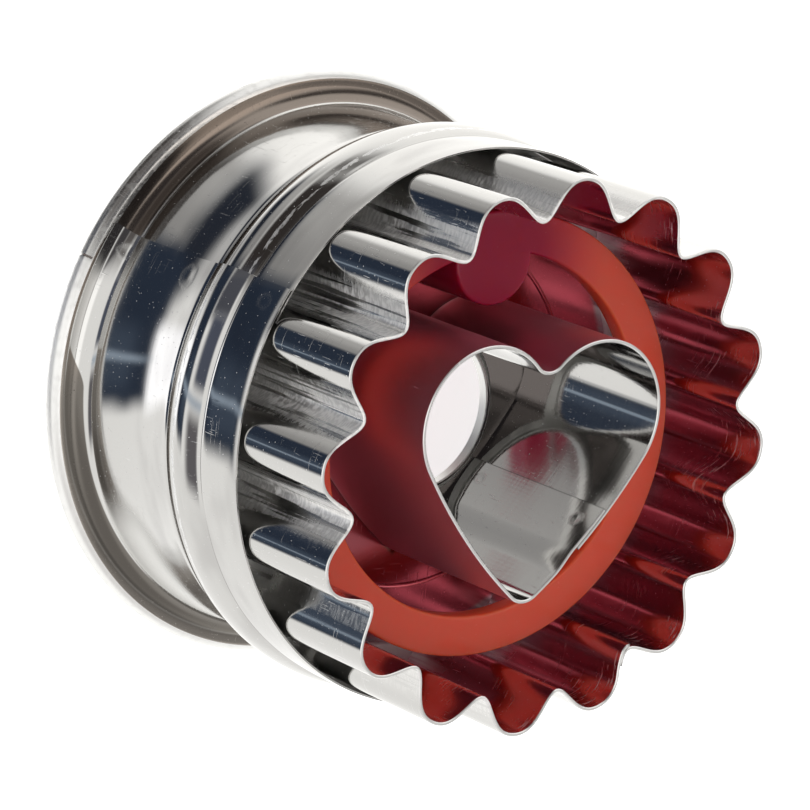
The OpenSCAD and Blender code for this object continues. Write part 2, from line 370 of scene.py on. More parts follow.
@dataclass(frozen=True)
class BandTin(Tinplate):
    """The band's sheet: matt on the lip, with painted shade on the lip beside the seam, browned with painted shade in
    the groove, a painted highlight on the ridge, cracked on the crease, rubbed inside the front.

    Spans across the strip are in metres from the hem, and spans round the band are bearings in degrees.
    """

    lip: Span = (0.00425, 0.00415)
    lip_colour: Colour = (0.9, 0.9, 0.89)
    lip_wear: Grain = Grain((1400.0, 1400.0, 1400.0), 3.0, (0.5, 0.66))
    # painted shade: the lip keeps less of its pale colour on this stretch beside the seam
    shaded_lip_round: tuple[Span, Span] = ((110.0, 130.0), (157.5, 156.5))
    groove: tuple[Span, Span] = ((0.00415, 0.00425), (0.00705, 0.0069))
    # painted shade: the groove's own browned tone, darkened for the shade in the recess
    shaded_brown: Colour = (0.185, 0.15, 0.125)
    # painted shade: on this stretch the groove's shade climbs higher, paler near the lip and darker above
    shaded_round: tuple[Span, Span] = ((171.0, 182.0), (285.0, 270.0))
    shade_rise: float = 0.0021
    shade_turns: Span = (0.0064, 0.0076)
    shade_low: Colour = (0.34, 0.31, 0.28)
    shade_high: Colour = (0.10, 0.088, 0.075)
    # painted highlight: a thin pale line on the ridge above the groove
    ridge_at: float = 0.00712
    ridge: Span = (0.00014, 0.00004)
    ridge_highlight_colour: Colour = (0.9, 0.9, 0.88)
    smudges: Grain = Grain((110.0, 260.0, 110.0), 2.0, (0.44, 0.68))
    smudged: Span = (0.016, 0.018)
    smudge_colour: Colour = (0.25, 0.24, 0.24)
    dulled_from: Span = (200.0, 216.0)
    dulled: tuple[Span, Span] = ((0.0070, 0.0074), (0.0150, 0.0105))
    dulled_colour: Colour = (0.92, 0.92, 0.90)
    crease_at: float = 0.02475
    crease: Span = (0.00024, 0.00008)
    cracks: Grain = Grain((900.0, 2500.0, 900.0), 2.0)
    cracked: Span = (0.38, 0.55)
    crease_wander: float = 0.0006
    crease_colour: Colour = (0.9, 0.9, 0.9)
    rubbed: Span = (0.022, 0.024)
    rubbed_colour: Colour = (0.88, 0.87, 0.85)

    def mark(self, look: Surface) -> None:
        """Tell the groove, the lip, the crease and the inside apart by the strip's breadth.

        Args:
            look: The surface so far, which is changed.
        """
        g = look.graph
        across = g.apart(look.place).twin(1)
        turn = g.apart(g.here()).bearing()
        # painted shade: the stretch where the groove's shade climbs higher
        shaded_stretch = g.between(turn, *self.shaded_round)
        top = across - self.shade_rise * shaded_stretch
        self.line_groove(look, across, top, shaded_stretch)
        self.line_lip(look, across, turn, shaded_stretch)
        self.wear_front(look, across)
        dulled = shaded_stretch * g.step(turn, *self.dulled_from) * g.between(top, *self.dulled)
        look.lay(0.7 * dulled, self.dulled_colour, 0.5 * dulled)
        rubbed = g.written("inner") * g.step(across, *self.rubbed)
        look.lay(0.6 * rubbed, self.rubbed_colour, 0.34 * rubbed)

    def line_groove(self, look: Surface, across: Wire, top: Wire, shaded_stretch: Wire) -> None:
        """Brown the groove with painted shade, which on one stretch climbs higher and darkens away from the lip.

        Args:
            look: The surface so far, which is changed.
            across: Place across the strip.
            top: The same place, lowered where the painted shade climbs above the groove.
            shaded_stretch: 1 on the stretch of the band where the groove's painted shade climbs higher.
        """
        g = look.graph
        groove = g.step(across, *self.groove[0]) * g.step(top, *self.groove[1])
        # painted shade on that stretch, paler near the lip and darker above
        stretch_shade = g.mix(g.step(across, *self.shade_turns), self.shade_low, self.shade_high)
        look.lay(0.9 * groove, g.mix(shaded_stretch, self.shaded_brown, stretch_shade), 0.12 * groove)

    def line_lip(self, look: Surface, across: Wire, turn: Wire, shaded_stretch: Wire) -> None:
        """Dull the rolled lip, less so beside the seam, where it is kept darker as painted shade, and dull the ridge
        above the groove, on which a highlight is painted.

        Args:
            look: The surface so far, which is changed.
            across: Place across the strip.
            turn: Bearing round the band.
            shaded_stretch: 1 on the stretch of the band where the groove's painted shade climbs higher.
        """
        g = look.graph
        lip = g.step(across, *self.lip)
        # painted shade: less pale lip colour beside the seam
        bare = g.between(turn, *self.shaded_lip_round)
        worn = self.lip_wear.flecks(g, look.place)
        look.lay(lip * (0.7 - 0.55 * bare), self.lip_colour, lip * (0.30 + 0.12 * worn - 0.12 * bare))
        # painted highlight on the ridge, faint on the stretch with painted shade
        ridge = g.step(abs(across - self.ridge_at), *self.ridge) * (1.0 - 0.85 * shaded_stretch)
        look.lay(0.8 * ridge, self.ridge_highlight_colour, 0.3 * ridge)

    def wear_front(self, look: Surface, across: Wire) -> None:
        """Smudge the front's outside and crack its crease.

        Args:
            look: The surface so far, which is changed.
            across: Place across the strip.
        """
        g = look.graph
        smudge = self.smudges.flecks(g, look.place) * g.step(across, *self.smudged)
        look.lay(0.28 * smudge * (1.0 - g.written("inner")), self.smudge_colour)
        jag = self.cracks.noise(g, look.place)
        off = abs(across - self.crease_at + self.crease_wander * (jag - 0.5))
        crease = g.step(off, *self.crease) * g.step(jag, *self.cracked)
        look.lay(0.8 * crease, self.crease_colour, 0.45 * crease)


@dataclass(frozen=True)
class WallTin(Tinplate):
    """A cutting wall's strip: hazy, with a painted red reflection of the ejector on the side that faces it, a painted
    highlight on its edge, dark on its cut ends from burr and painted shadow.
    """

    haze: float = 0.22
    # painted reflection: the ejector's red laid on the side that faces it
    red_reflection: Colour = (0.72, 0.30, 0.39)
    inside: bool = False
    rim: Span = (0.03788, 0.03796)
    # painted highlight: the pale cutting edge
    rim_highlight_colour: Colour = (0.93, 0.93, 0.92)
    # dark cut ends: the burr, with painted shadow of the lap's gap
    burr_and_shadow_colour: Colour = (0.05, 0.045, 0.045)

    def mark(self, look: Surface) -> None:
        """Tell the side that faces the ejector, the cutting edge and the cut ends apart.

        Args:
            look: The surface so far, which is changed.
        """
        g = look.graph
        side = g.written("inner")
        rim = g.step(g.apart(g.here()).twin(2), *self.rim)
        # the side that faces the ejector, where its red reflection is painted
        reflecting_side = (side if self.inside else 1.0 - side) * (1.0 - rim)
        look.lay(0.8 * reflecting_side, self.red_reflection, self.haze * reflecting_side)
        # painted highlight on the cutting edge
        look.lay(0.6 * rim, self.rim_highlight_colour, 0.25 * rim)
        # the burr and painted shadow on the cut ends
        look.lay(0.9 * g.written("cut_end"), self.burr_and_shadow_colour)


@dataclass(frozen=True)
class FlutedTin(WallTin):
    """The fluted strip: streaked near its foot, with painted highlights along its valleys outside, and scored inside.

    Spans across the strip and on plan are in metres, and bearings are in degrees.
    """

    inside: bool = True
    haze: float = 0.11
    # painted reflection: the ejector's red on the inner side of the flutes
    red_reflection: Colour = (0.53, 0.25, 0.32)
    foot: Span = (0.007, 0.0014)
    foot_streaks: Grain = Grain((1500.0, 90.0, 90.0), 2.0, (0.42, 0.62))
    foot_colour: Colour = (0.85, 0.85, 0.84)
    # painted highlight: pale dotted rows along the valleys outside, fainter from bearing 196
    valley: Span = (0.0243, 0.0226)
    calm_from: Span = (196.0, 214.0)
    rows: Grain = Grain((1500.0, 55.0, 1500.0), 3.0, (0.41, 0.50))
    dots: Grain = Grain((1300.0, 3600.0, 1300.0), 2.0, (0.45, 0.55))
    valley_highlight_colour: Colour = (0.98, 0.97, 0.96)
    scored: Span = (0.0085, 0.0145)
    score_clouds: Grain = Grain((210.0, 160.0, 210.0), 3.0, (0.46, 0.60))
    scores: Grain = Grain((420.0, 3400.0, 420.0), 3.0, (0.56, 0.64))
    score_colour: Colour = (0.97, 0.90, 0.90)

    def mark(self, look: Surface) -> None:
        """Streak the foot, paint highlights along the valleys outside the flutes and score the inside.

        Args:
            look: The surface so far, which is changed.
        """
        super().mark(look)
        g = look.graph
        across = g.apart(look.place).twin(1)
        side = g.written("inner")
        plan = g.apart(g.here())
        streak = self.foot_streaks.flecks(g, look.place)
        low = g.step(across, *self.foot) * (0.3 + 0.7 * streak)
        look.lay(0.5 * low * streak, self.foot_colour, 0.32 * low, 0.6 * low)
        # painted highlight along the valleys outside
        deep = g.step(plan.away(), *self.valley) * (1.0 - side)
        deep = deep * (1.0 - 0.7 * g.step(plan.bearing(), *self.calm_from))
        valley_glints = self.rows.flecks(g, look.place) * (0.5 + 0.5 * self.dots.flecks(g, look.place))
        look.lay(deep * (0.35 + 0.63 * valley_glints), self.valley_highlight_colour, deep * (0.10 + 0.44 * valley_glints), 0.5 * deep * valley_glints)
        scores = side * g.step(across, *self.scored) * self.score_clouds.flecks(g, look.place)
        scores = scores * self.scores.flecks(g, look.place)
        look.lay(0.85 * scores, self.score_colour, 0.32 * scores, 1.2 * scores)


@dataclass(frozen=True)
class PlateTin(Tinplate):
    """The plate's sheet: a fine pressed circle, a painted red reflection of the ring on the plate under it, painted
    shade inside the heart, a rubbed border.
    """

    circle: float = 0.01635
    circle_line: Span = (0.00022, 0.00005)
    circle_colour: Colour = (0.06, 0.055, 0.055)
    border: float = 0.0214
    border_soft: float = 0.0006
    border_colour: Colour = (0.9, 0.89, 0.87)
    # painted reflection: the ring's red on the plate under it
    red_reflection: Colour = (0.55, 0.10, 0.13)
    # painted shade inside the heart
    shade: Colour = (0.15, 0.125, 0.12)
    middle_x: float = -0.0013
    lobe: Spot = (0.0062, 0.0035)
    lobe_r: float = 0.0071
    flank: Spot = (-0.03138, 0.02807)
    flank_r: float = 0.052
    heart_soft: float = 0.0002
    join_soft: float = 0.0003

    def place(self, g: Graph) -> Wire:
        """Object coordinates, as the plate isn't a strip."""
        return g.here()

    def mark(self, look: Surface) -> None:
        """Press the circle, paint shade inside the heart, and tell the plate under the ring, where its red reflection
        is painted, from its border.

        Args:
            look: The surface so far, which is changed.
        """
        g = look.graph
        plan = g.apart(look.place)
        radius = plan.away()
        line = g.step(abs(radius - self.circle), *self.circle_line)
        look.lay(0.6 * line, self.circle_colour, None, -60.0 * line)
        outside = self.outside_heart(g, plan)
        look.lay(0.85 * (1.0 - outside), self.shade)
        # painted reflection: the ring's red on the plate under it
        under = g.step(radius, self.border, self.border - self.border_soft) * outside
        look.lay(0.9 * under, self.red_reflection, 0.10 * under)
        border = g.step(radius, self.border, self.border + self.border_soft)
        look.lay(0.75 * border, self.border_colour, 0.40 * border)

    def outside_heart(self, g: Graph, x: Wire) -> Wire:
        """Tell the plate outside the heart from the plate inside it.

        Args:
            g: The material's graph.
            x: The x output of the separated coordinates.

        Returns:
            1 outside the heart and 0 inside it.
        """
        y = x.twin(1)
        side = abs(x - self.middle_x)
        lobe = ((side - self.lobe[0]) ** 2.0 + (y - self.lobe[1]) ** 2.0) ** 0.5
        flank = ((side - self.flank[0]) ** 2.0 + (y - self.flank[1]) ** 2.0) ** 0.5
        in_lobe = g.step(lobe, self.lobe_r + self.heart_soft, self.lobe_r - self.heart_soft)
        in_flank = g.step(flank, self.flank_r + self.heart_soft, self.flank_r - self.heart_soft)
        below = g.step(y, self.lobe[1] + self.join_soft, self.lobe[1] - self.join_soft)
        return 1.0 - in_lobe.larger(in_flank * below)


@dataclass(frozen=True)
class RedPlastic:
    """Glossy moulded plastic that lets a little light through, with painted light for it: a shaded red by the boss, a
    lit red away from it, orange thin edges and a glow behind the plate.
    """

    name: str
    # painted light: deep is the shaded red round the boss, lit the red away from it
    deep: Colour = (0.28, 0.008, 0.036)
    lit: Colour = (0.56, 0.034, 0.080)
    # painted light: orange of light through the thin edges
    edge: Colour = (0.78, 0.15, 0.04)
    # painted glow: emission colour of the red parts behind the plate
    glow: Colour = (0.13, 0.008, 0.024)
    boss: Spot = (-0.001, 0.0157)
    thin: Span = (0.0045, 0.0135)
    behind: Span = (0.0200, 0.0185)
    clouds: Grain = Grain((120.0, 120.0, 120.0), 3.0)
    dust: Grain = Grain((2400.0, 2400.0, 2400.0), 1.0, (0.74, 0.8))
    scatter: Colour = (1.0, 0.10, 0.07)
    scatter_depth: float = 0.0035
    bump_strength: float = 0.15
    bump_height: float = 0.00004

    def build(self) -> Material:
        """Make the material.

        Returns:
            The material, darker round the boss and lighter and more orange at the far side's thin edges, as painted
            light for light carried through the plastic.
        """
        material, g = new_material(self.name)
        place = g.here()
        apart = g.apart(place)
        thin = g.step(apart.away(*self.boss), *self.thin)
        clouds, dust = self.clouds.noise(g, place), self.dust.flecks(g, place)
        # painted light: shaded red by the boss, lit red away from it
        colour = g.mix(thin, self.deep, self.lit)
        # painted light: orange on the thin edges away from the boss
        colour = g.mix(g.written("rim") * thin * 0.75, colour, self.edge)
        colour = g.mix(0.12 * clouds, colour, self.deep)
        relief = {"Strength": self.bump_strength, "Distance": self.bump_height, "Height": clouds + 0.5 * dust}
        g.cover(
            {
                "Base Color": colour,
                "Roughness": 0.13 + 0.06 * clouds + 0.25 * dust,
                "Normal": g.wire("ShaderNodeBump", None, relief),
                "IOR": 1.5,
                "Specular IOR Level": 0.28,
                "Subsurface Weight": 0.8,
                "Subsurface Radius": self.scatter,
                "Subsurface Scale": self.scatter_depth,
                # painted glow: the parts below the plate give off light
                "Emission Color": g.mix(g.step(apart.twin(2), *self.behind), (0.0, 0.0, 0.0), self.glow),
                "Emission Strength": 1.0,
            },
            {"subsurface_method": "RANDOM_WALK"},
        )
        return material


# ---------------------------------------------------------------- curves and lattices


def unit(ways: np.ndarray) -> np.ndarray:
    """Scale each row of ways to length 1."""
    return ways / np.maximum(np.linalg.norm(ways, axis=-1, keepdims=True), 1e-12)


def arc(centre: Sequence[float], radius: float, first: float, last: float, count: int) -> np.ndarray:
    """Points on an arc.

    Args:
        centre: Centre of the arc.
        radius: Its radius.
        first: Angle of the first point, degrees.
        last: Angle of the last point, degrees.
        count: Number of steps.

    Returns:
        An array of count + 1 points.
    """
    t = np.radians(np.linspace(first, last, count + 1))
    return np.asarray(centre) + radius * np.stack([np.cos(t), np.sin(t)], 1)


def bow(start: Sequence[float], end: Sequence[float], sag: float, count: int) -> np.ndarray:
    """Points on a shallow bow that bulges by sag to the right of its way.

    Args:
        start: First end, which isn't repeated in the result.
        end: Last end.
        sag: Depth of the bow.
        count: Number of steps.

    Returns:
        An array of count points.
    """
    p, q = np.asarray(start, float), np.asarray(end, float)
    way = unit((q - p)[None])[0]
    u = np.linspace(0, 1, count + 1)[1:, None]
    return p + (q - p) * u + np.array([way[1], -way[0]]) * sag * 4 * u * (1 - u)


def even(path: np.ndarray, step: float) -> np.ndarray:
    """Lay points along a path at an even distance.

    Args:
        path: Points of the path.
        step: Distance between the new points, about.

    Returns:
        The new points.
    """
    run = run_of(path)
    at = np.linspace(0, run[-1], max(2, round(run[-1] / step)) + 1)
    return np.stack([np.interp(at, run, path[:, k]) for k in range(path.shape[1])], 1)


def soften(path: np.ndarray, spread: float, rounds: int) -> np.ndarray:
    """Round the corners of an evenly spaced path, its ends kept.

    Args:
        path: Points of the path.
        spread: Share by which a point moves towards its neighbours in a round.
        rounds: Number of rounds.

    Returns:
        The moved points.
    """
    for _ in range(rounds):
        path = np.r_[path[:1], path[1:-1] + spread * (path[:-2] + path[2:] - 2 * path[1:-1]), path[-1:]]
    return path


def thin_out(path: np.ndarray, turn: float, longest: float) -> np.ndarray:
    """Keep the points that a path's bends need.

    Args:
        path: Evenly spaced points.
        turn: Degrees that may be turned between two kept points.
        longest: Greatest distance between two kept points.

    Returns:
        The kept points.
    """
    ways = unit(np.diff(path, axis=0))
    bends = np.degrees(np.arccos(np.clip(np.sum(ways[1:] * ways[:-1], 1), -1, 1)))
    kept, bent, gone = [0], 0.0, 0.0
    for i in range(1, len(path) - 1):
        bent += bends[i - 1]
        gone += float(np.linalg.norm(path[i] - path[i - 1]))
        if bent > turn or gone > longest:
            kept.append(i)
            bent = gone = 0.0
    return path[kept + [len(path) - 1]]


def smooth(value: np.ndarray, low: float, high: float) -> np.ndarray:
    """Rise smoothly from 0 to 1 as value goes from low to high."""
    t = np.clip((value - low) / (high - low), 0, 1)
    return t * t * (3 - 2 * t)


def ripple(place: Sequence[float], size: float) -> float:
    """Smooth noise about 0 at a place, with features of the given size."""
    return noise.noise(Vector(place) / size)


@dataclass
class Sheet:
    """A bent sheet as two lattices of points, front and back, in millimetres."""

    name: str
    middle: np.ndarray
    thickness: float
    edge_share: float = 0.55

    def normals(self) -> np.ndarray:
        """Unit normals of the middle lattice, along times across."""
        return unit(np.cross(np.gradient(self.middle, axis=0), np.gradient(self.middle, axis=1)))

    def faces(self) -> np.ndarray:
        """List the faces of the front, the back, both long edges and both ends.

        Returns:
            Four corners of each face.
        """
        rows, cols = self.middle.shape[:2]
        size = rows * cols
        front = grid_faces(rows, cols)
        faces = [front, front[:, ::-1] + size]
        for pace, count, far, flip in ((cols, rows - 1, cols - 1, False), (1, cols - 1, (rows - 1) * cols, True)):
            p = np.arange(count) * pace
            for start, turned_over in ((0, flip), (far, not flip)):
                quad = np.stack([p, p + size, p + pace + size, p + pace], -1) + start
                faces.append(quad[:, ::-1] if turned_over else quad)
        return np.concatenate(faces)

    def build(self) -> Piece:
        """Make the sheet's mesh with rounded cut edges.

        Returns:
            The object, linked to the scene, in metres.
        """
        m, n = self.middle, self.normals()
        rows, cols = m.shape[:2]
        along = run_of(m[:, cols // 2])
        side = np.concatenate([np.zeros((rows, 1)), np.cumsum(np.linalg.norm(np.diff(m, axis=1), axis=2), 1)], 1)
        pinch = np.full(cols, self.thickness / 2)
        pinch[[0, -1]] = self.thickness / 2 * self.edge_share
        front = m + n * pinch[None, :, None]
        back = m - n * pinch[None, :, None]
        points = np.concatenate([front.reshape(-1, 3), back.reshape(-1, 3)]) * MM
        uv = np.stack([np.broadcast_to(along[:, None], (rows, cols)), side], -1).reshape(-1, 2) * MM
        made = finish_mesh(self.name, points, self.faces().tolist(), np.concatenate([uv, uv]))
        write_values(made, "inner", np.repeat([0.0, 1.0], rows * cols))
        ends = np.zeros((rows, cols))
        ends[[0, -1]] = 1.0
        write_values(made, "cut_end", np.tile(ends.ravel(), 2))
        return made


def run_of(path: np.ndarray) -> np.ndarray:
    """Length of a path up to each of its points."""
    return np.r_[0, np.cumsum(np.linalg.norm(np.diff(path, axis=0), axis=1))]


def grid_faces(rows: int, cols: int, round_rows: bool = False, round_cols: bool = False) -> np.ndarray:
    """Faces of a lattice of points.

    Args:
        rows: Number of rows.
        cols: Number of points in a row.
        round_rows: Whether the last row joins the first.
        round_cols: Whether a row's last point joins its first.

    Returns:
        Four corners of each face.
    """
    spans = np.arange(rows if round_rows else rows - 1), np.arange(cols if round_cols else cols - 1)
    i, j = np.meshgrid(*spans, indexing="ij")
    i1, j1 = (i + 1) % rows, (j + 1) % cols
    return np.stack([i * cols + j, i1 * cols + j, i1 * cols + j1, i * cols + j1], -1).reshape(-1, 4)


def write_values(made: Piece, name: str, values: np.ndarray) -> None:
    """Write a named value at each corner of a mesh."""
    made.data.attributes.new(name, "FLOAT", "POINT").data.foreach_set("value", values.astype(np.float32))


def finish_mesh(name: str, points: np.ndarray, faces: list, uv: np.ndarray, sharp: float = 40.0) -> Piece:
    """Make an object from points and faces.

    Args:
        name: The object's name.
        points: Corners, in metres.
        faces: Indices of the corners of each face.
        uv: Strip coordinates of each corner.
        sharp: Degrees beyond which an edge is kept sharp.

    Returns:
        The smooth-shaded object, linked to the scene.
    """
    mesh = bpy.data.meshes.new(name)
    mesh.from_pydata(points.tolist(), [], faces)
    layer = mesh.uv_layers.new(name="strip")
    corners = np.zeros(len(mesh.loops), np.int32)
    mesh.loops.foreach_get("vertex_index", corners)
    layer.data.foreach_set("uv", uv[corners].astype(np.float32).ravel())
    mesh.validate()
    mesh.shade_smooth()
    mesh.set_sharp_from_angle(angle=math.radians(sharp))
    made = bpy.data.objects.new(name, mesh)
    bpy.context.scene.collection.objects.link(made)
    return made


def turned(name: str, section: np.ndarray, place: Sequence[float] = (0, 0), count: int = 128) -> Piece:
    """Turn a closed section round an upright axis.

    Args:
        name: The object's name.
        section: Radius and height of the section's points, anticlockwise, the first not repeated.
        place: Place of the axis.
        count: Number of steps round.

    Returns:
        The object.
    """
    angle = np.linspace(0, 2 * np.pi, count, endpoint=False)
    ring = np.stack([np.cos(angle), np.sin(angle)], 1)
    plan = ring[:, None, :] * section[None, :, :1] + np.asarray(place, float)
    grid = np.concatenate([plan, np.broadcast_to(section[None, :, 1:], (count, len(section), 1))], -1)
    faces = grid_faces(count, len(section), True, True).tolist()
    reach = float(np.abs(section[:, 0]).max())
    uv = np.stack(np.broadcast_arrays(angle[:, None] * reach, run_of(section)[None, :]), -1).reshape(-1, 2) * MM
    return finish_mesh(name, grid.reshape(-1, 3) * MM, faces, uv)


def dress(made: Piece, material: Material, body: str, slot: Slot, *nodes: str) -> None:
    """Give a piece its finish, its body and the nodes that it stands for.

    Args:
        made: The piece.
        material: Its finish.
        body: The body that it rides on.
        slot: The record's slot of that finish; not used.
        nodes: CAD nodes that it replaces.
    """
    made.data.materials.clear()
    made.data.materials.append(material)
    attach(made, body)
    if nodes:
        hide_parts(*nodes)
    LOG.info("%s: %d faces", made.name, len(made.data.polygons))


# ---------------------------------------------------------------- sub-assemblies


POST: Spot = (-1.0105, 15.667)
LAP = math.radians(152.0)
BAND_WELDS = tuple(
    Weld((reach * math.cos(LAP), reach * math.sin(LAP), z), radius)
    for reach, z, radius in ((24.9, 2.9, 0.7), (24.7, 12.4, 0.95), (25.45, 24.3, 0.7))
)
HEART_WELDS = (Weld((5.7, -6.0, 22.1), 0.55), Weld((5.6, -6.15, 35.8), 0.6))


@dataclass
class HandleBand:
    """The rolled band: rim, groove, waist, bead and plain front, closed by a lap seam.

    Places along the section's run are in millimetres from the hem.
    """

    thickness: float = 0.26
    outer: float = 0.2
    hem_r: float = 25.6
    rim_r: float = 26.7
    rim_edge: float = 0.8
    foot_r: float = 24.4
    groove_r: float = 2.0
    groove_z: float = 1.8
    waist_sag: float = -0.45
    bead_z: float = 16.0
    bead_foot_r: float = 25.08
    bead_sag: float = 0.65
    front_r: float = 25.25
    bead_top: float = 21.4
    crease_depths: Pair = (0.10, 0.07)
    crease_widths: Pair = (0.22, 0.2)
    rim_reach: float = 0.7
    top: float = 26.6
    pitch: float = 0.06
    bend_step: float = 4.0
    longest: float = 0.55
    seam: float = 148.0
    seam_at_rim: float = 156.6
    rim_gap: float = 0.45
    rim_run: Span = (3.4, 3.8)
    hem_run: Span = (1.3, 1.6)
    lap: float = 7.0
    lap_gap: float = 0.03
    lap_ease: Pair = (45.0, 0.5)
    ripples: tuple[Pair, Pair] = ((0.022, 9.0), (0.003, 2.2))
    ripple_r: float = 25.0
    columns: int = 360

    def section(self) -> np.ndarray:
        """Draw the section of the band.

        Returns:
            Radius and height along the middle of the sheet, from the hem to the front edge.
        """
        z0 = self.outer
        path = np.concatenate(
            [
                [[self.hem_r, z0]],
                arc([self.rim_r, z0 + self.rim_edge], self.rim_edge, -90, 90, 24),
                arc([self.foot_r + self.groove_r, self.groove_z + self.groove_r], self.groove_r, 270, 180, 24),
                bow([self.foot_r, self.groove_z + self.groove_r], [self.bead_foot_r, self.bead_z], self.waist_sag, 40),
                bow([self.bead_foot_r, self.bead_z], [self.front_r, self.bead_top], self.bead_sag, 30),
                [[self.front_r, self.top]],
            ]
        )
        path = even(path, self.pitch)
        creases = zip((self.bead_z, self.bead_top), self.crease_depths, self.crease_widths)
        pinched = sum(depth * np.exp(-(((path[:, 1] - z) / width) ** 2)) for z, depth, width in creases)
        path[:, 0] -= pinched * (path[:, 0] < self.front_r + self.rim_reach)
        path = thin_out(soften(path, spread=0.25, rounds=6), self.bend_step, self.longest)
        way = unit(np.gradient(path, axis=0))
        return path + np.stack([way[:, 1], -way[:, 0]], 1) * (self.outer - self.thickness / 2)

    def lattice(self) -> np.ndarray:
        """Bend the section round the band, with its lap, its slit in the rim and slight ripples.

        Returns:
            Points of the whole strip, round the band and across it.
        """
        section = self.section()
        run = run_of(section)
        at_rim = 1 - smooth(run, *self.rim_run)
        slit = self.rim_gap * smooth(run, *self.hem_run)
        first = self.seam + (self.seam_at_rim - self.seam) * at_rim
        last = 360 + (self.seam + self.lap) * (1 - at_rim) + (self.seam_at_rim - slit) * at_rim
        share = np.linspace(0, 1, self.columns)
        angle = first[None, :] + (last - first)[None, :] * share[:, None]
        radius = np.broadcast_to(section[None, :, 0], angle.shape).copy()
        seam = 360 + self.seam
        under = smooth(angle, seam - self.lap_ease[0], seam - self.lap_ease[1]) * (1 - at_rim)[None, :]
        radius -= under * (self.thickness + self.lap_gap)
        height = np.broadcast_to(section[None, :, 1], angle.shape)
        turn = np.radians(angle)
        for i in range(radius.shape[0]):
            for j in range(radius.shape[1]):
                side, rise = math.cos(turn[i, j]) * self.ripple_r, math.sin(turn[i, j]) * self.ripple_r
                radius[i, j] += sum(depth * ripple((side, rise, height[i, j]), size) for depth, size in self.ripples)
        return np.stack([radius * np.cos(turn), radius * np.sin(turn), height], -1)

    def build(self, finish: Material) -> None:
        """Make the band and dress it in its finish."""
        dress(Sheet("tin_band", self.lattice(), self.thickness).build(), finish, "cutter", Slot.BAND, "handle_band")


@dataclass
class WallStrip:
    """A cutting wall bent from a strip that stands on the bridge plate."""

    name: str
    path: np.ndarray
    thickness: float = 0.32
    foot: float = 19.4
    edge: float = 37.99
    wobble: float = 0.02
    ripple_size: float = 6.0
    upright: float = 0.6
    first_level: float = 0.6
    last_level: float = 0.5
    rim_level: float = 0.07

    def build(self, finish: Material, node: str) -> None:
        """Make the wall.

        Args:
            finish: Its material.
            node: The CAD node that it stands for.
        """
        levels = np.linspace(self.foot + self.first_level, self.edge - self.last_level, 9)
        heights = np.r_[self.foot, levels, self.edge - self.rim_level, self.edge]
        grid = np.empty((len(self.path), len(heights), 3))
        way = unit(np.gradient(self.path, axis=0))
        out = np.stack([way[:, 1], -way[:, 0]], 1)
        for i, (x, y) in enumerate(self.path):
            for j, z in enumerate(heights):
                push = self.wobble * ripple((x, y, z * self.upright), self.ripple_size)
                grid[i, j] = (x + out[i, 0] * push, y + out[i, 1] * push, z)
        dress(Sheet(self.name, grid, self.thickness).build(), finish, "cutter", Slot.STRIP, node)


@dataclass
class FlutedRing:
    """The outer cutting wall with its flutes and its lap in one valley."""

    radius: float = 25.0
    wall: float = 0.35
    flutes: int = 16
    depth: float = 3.3
    fullness: float = 0.08
    turn: float = -1.0
    seam: float = -58.9
    past_seam: Pair = (1.6, 2.6)
    lap_step: float = 0.34
    lap_ease: Pair = (2.5, 0.3)
    steps: int = 30

    def wave(self, angle: np.ndarray) -> np.ndarray:
        """Draw the flutes.

        Args:
            angle: Angles, degrees.

        Returns:
            Radius of the wall's middle at each angle.
        """
        w = np.radians(self.flutes * (angle - self.turn))
        fall, fill = (1 - np.cos(w)) / 2, self.fullness * (1 - np.cos(2 * w))
        return self.radius - self.wall / 2 - self.depth * (fall - fill)

    def path(self) -> np.ndarray:
        """Lay the strip round the flutes.

        Returns:
            Points along the strip's middle, anticlockwise, with the lap at its end.
        """
        first, last = self.seam - self.past_seam[0], self.seam + 360 + self.past_seam[1]
        angle = np.linspace(first, last, self.flutes * self.steps)
        lapped = smooth(angle, 360 + first - self.lap_ease[0], 360 + first - self.lap_ease[1])
        radius = self.wave(angle) - self.lap_step * lapped
        turn = np.radians(angle)
        return np.stack([radius * np.cos(turn), radius * np.sin(turn)], 1)

    def build(self, finish: Material) -> None:
        """Make the ring and dress it in its finish."""
        WallStrip("fluted_wall", self.path()).build(finish, "fluted_ring")


